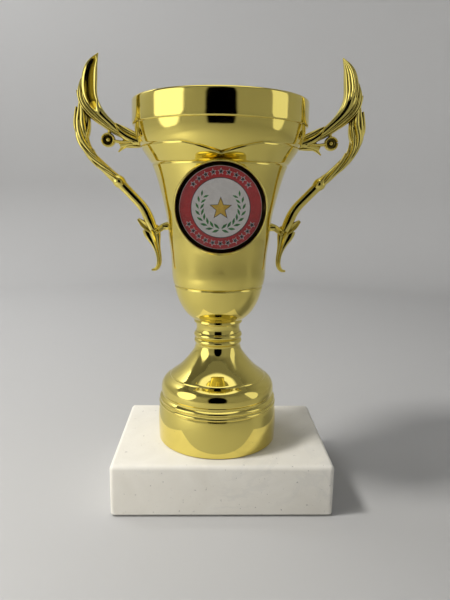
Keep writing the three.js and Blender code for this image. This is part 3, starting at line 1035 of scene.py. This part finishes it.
def panel_material(name, brightness):
    """An even glow that fades out at the panel's edge; brightness 0 makes a dark flag."""
    material = bpy.data.materials.new(name)
    material.use_nodes = True
    tree = material.node_tree
    tree.nodes.clear()
    light = tree.nodes.new("ShaderNodeEmission")
    light.inputs["Strength"].default_value = brightness
    clear = tree.nodes.new("ShaderNodeBsdfTransparent")
    place = tree.nodes.new("ShaderNodeTexCoord")
    spread = tree.nodes.new("ShaderNodeVectorMath")
    spread.operation = "LENGTH"
    tree.links.new(place.outputs["UV"], spread.inputs[0])
    fade = add_range(tree, spread.outputs["Value"], 1.0, 0.8)
    both = tree.nodes.new("ShaderNodeMixShader")
    tree.links.new(fade, both.inputs["Fac"])
    tree.links.new(clear.outputs["BSDF"], both.inputs[1])
    tree.links.new(light.outputs["Emission"], both.inputs[2])
    end = tree.nodes.new("ShaderNodeOutputMaterial")
    tree.links.new(both.outputs["Shader"], end.inputs["Surface"])
    return material


def soft_panels():
    """Plain soft boxes at the sides and overhead, and a dark flag in front, for the gilt to mirror."""
    for name, spot, width, height, brightness in SOFT_PANELS:
        bm = bmesh.new()
        bmesh.ops.create_grid(bm, x_segments=8, y_segments=8, size=1)
        layer = bm.loops.layers.uv.new("UVMap")
        for face in bm.faces:
            for loop in face.loops:
                loop[layer].uv = loop.vert.co.xy
        aim = (Vector(PANEL_TARGET) - Vector(spot)).to_track_quat("-Z", "Y").to_matrix().to_4x4()
        where = Matrix.Translation(spot) @ aim @ Matrix.Diagonal((width / 2, height / 2, 1, 1))
        bmesh.ops.transform(bm, matrix=where, verts=bm.verts)
        only_mirrored(name, bm, panel_material(name, brightness))


def studio_world():
    """Soft grey light all round, brighter overhead."""
    world = bpy.data.worlds.new("studio")
    bpy.context.scene.world = world
    world.use_nodes = True
    tree = world.node_tree
    tree.nodes.clear()
    place = tree.nodes.new("ShaderNodeTexCoord")
    parts = tree.nodes.new("ShaderNodeSeparateXYZ")
    tree.links.new(place.outputs["Generated"], parts.inputs["Vector"])
    tones = [(0.0, grey(0.4)), (0.45, grey(0.5)), (0.8, grey(0.8)), (1.0, grey(0.7))]
    sky = add_ramp(tree, parts.outputs["Z"], tones)
    light = tree.nodes.new("ShaderNodeBackground")
    light.inputs["Strength"].default_value = 0.26
    tree.links.new(sky, light.inputs["Color"])
    end = tree.nodes.new("ShaderNodeOutputWorld")
    tree.links.new(light.outputs["Background"], end.inputs["Surface"])


def soft_light(name, place, target, size, power, colour=(1, 1, 1)):
    """A soft lamp that the gilt doesn't mirror."""
    lamp = bpy.data.lights.new(name, "AREA")
    lamp.shape = "DISK"
    lamp.size = size
    lamp.energy = power
    lamp.color = colour
    holder = bpy.data.objects.new(name, lamp)
    holder.location = place
    holder.rotation_euler = (Vector(target) - Vector(place)).to_track_quat("-Z", "Y").to_euler()
    holder.visible_camera = False
    holder.visible_glossy = False
    bpy.context.scene.collection.objects.link(holder)


def studio_lights():
    """A key high on the left and a little in front, a weak fill, and a wash on the wall behind."""
    soft_light("key", (-0.36, -0.10, 0.56), (0, 0, 0.05), 0.12, 2.9, (1.0, 0.98, 0.94))
    soft_light("fill", (-0.20, -0.15, 0.09), (-0.01, 0, 0.02), 0.05, 0.17, (1.0, 0.97, 0.9))
    soft_light("wash", (-0.42, 0.22, 0.60), (-0.34, 0.60, 0.26), 0.3, 2.0)


def camera():
    """Level with the cup, a hand's width in front of it, looking a little down."""
    lens = bpy.data.cameras.new("camera")
    lens.sensor_width = 36
    lens.lens = CAMERA_LENS
    lens.clip_start = 0.01
    eye = bpy.data.objects.new("camera", lens)
    aimed = Matrix.Rotation(CAMERA_YAW, 4, "Z") @ Matrix.Rotation(math.pi / 2 - CAMERA_TILT, 4, "X")
    turned = aimed @ Matrix.Rotation(CAMERA_ROLL, 4, "Z")
    eye.matrix_world = Matrix.Translation(CAMERA_PLACE) @ turned
    bpy.context.scene.collection.objects.link(eye)
    bpy.context.scene.camera = eye


# ---- The trophy ----

camera()
polished = gilt_material("polished_gilt", 0.035, 0.03)
# The moulded gilt carries painted shade in its folds and creases.
moulded = gilt_material("moulded_gilt_painted_crease_shade", 0.07, 0.06, 0.0016)
# A dark copy of the gilt, used as painted shade on the medal's seat.
shaded = gilt_material("painted_shade_gilt", 0.12, 0.03, 0.0, (SEAT_PAINTED_SHADE, GOLD_PAINTED_SHADE))
steel = steel_material()
marble_block(marble_material())
felt_pads(felt_material())
gilt_foot(polished)
gilt_cup(polished)
gilt_handles(moulded)
medal_holder(moulded, shaded)
medal_print()
medal_dome(resin_material())
threaded_rod(steel)
washers_and_nuts(steel)
studio_floor()
soft_panels()
studio_world()
studio_lights()
bpy.context.scene.view_settings.view_transform = "Standard"
